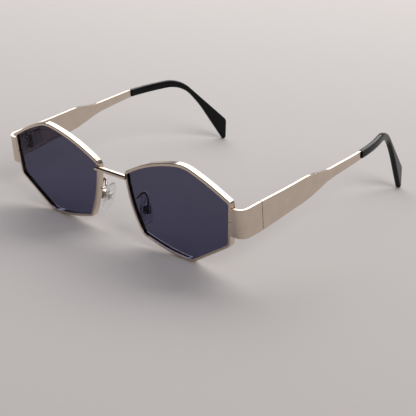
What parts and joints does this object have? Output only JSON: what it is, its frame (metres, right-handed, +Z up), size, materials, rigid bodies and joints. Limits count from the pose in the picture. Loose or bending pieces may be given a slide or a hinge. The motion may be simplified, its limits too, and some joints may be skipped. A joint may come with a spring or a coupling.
{
  "type": "sunglasses",
  "caption": "Metal sunglasses with hexagonal full rims, tinted lenses, a straight bridge bar, folding flat temples with plastic ear tips and rocking nose pads.",
  "frame": {"origin": "on the table, at the middle of the footprint of the open sunglasses", "axes": "+Z up, -Y out of the front of the lenses, +Y back along the temples, +X towards the temple named right; the plane X = 0 is the middle of the bridge"},
  "size_m": [0.142, 0.135, 0.0425],
  "materials": {
    "frame_metal": "satin champagne-silver plating over brushed metal",
    "fitting_metal": "satin plating, a little darker than the frame",
    "screw_steel": "turned and polished",
    "lens_tint": "dark blue-grey tint, polished",
    "tip_plastic": "polished black",
    "pad_silicone": "clear, soft, slightly cloudy"
  },
  "bodies": {
    "front": {"bridge": "frame_metal", "rim_right": "frame_metal", "rim_left": "frame_metal", "lens_right": "lens_tint", "lens_left": "lens_tint", "end_piece_right": "frame_metal", "end_piece_left": "frame_metal", "rim_lock_upper_right": "fitting_metal", "rim_lock_upper_left": "fitting_metal", "rim_lock_lower_right": "fitting_metal", "rim_lock_lower_left": "fitting_metal", "rim_lock_screw_right": "screw_steel", "rim_lock_screw_left": "screw_steel", "hinge_front_right": "fitting_metal", "hinge_front_left": "fitting_metal", "hinge_screw_right": "screw_steel", "hinge_screw_left": "screw_steel", "pad_arm_right": "fitting_metal", "pad_arm_left": "fitting_metal", "pad_box_right": "fitting_metal", "pad_box_left": "fitting_metal", "pad_screw_right": "screw_steel", "pad_screw_left": "screw_steel"},
    "temple_right": {"temple_right": "frame_metal", "temple_tip_right": "tip_plastic", "hinge_temple_right": "fitting_metal"},
    "temple_left": {"temple_left": "frame_metal", "temple_tip_left": "tip_plastic", "hinge_temple_left": "fitting_metal"},
    "nose_pad_right": {"nose_pad_right": "pad_silicone", "pad_core_right": "fitting_metal"},
    "nose_pad_left": {"nose_pad_left": "pad_silicone", "pad_core_left": "fitting_metal"}
  },
  "joints": [
    {"name": "temple_right_fold", "type": "hinge", "parent": "front", "child": "temple_right", "pos_m": [0.06798, -0.05217, 0.02494], "axis": [0, -0.0958, 0.9954], "range_deg": [0, 80]},
    {"name": "temple_left_fold", "type": "hinge", "parent": "front", "child": "temple_left", "pos_m": [-0.06798, -0.05217, 0.02494], "axis": [0, 0.0958, -0.9954], "range_deg": [0, 86]},
    {"name": "nose_pad_right_rock", "type": "hinge", "parent": "front", "child": "nose_pad_right", "pos_m": [0.01314, -0.05813, 0.014], "axis": [-0.5744, -0.8182, -0.0232], "range_deg": [-8, 8]},
    {"name": "nose_pad_left_rock", "type": "hinge", "parent": "front", "child": "nose_pad_left", "pos_m": [-0.01314, -0.05813, 0.014], "axis": [-0.5744, 0.8182, 0.0232], "range_deg": [-8, 8]}
  ]
}
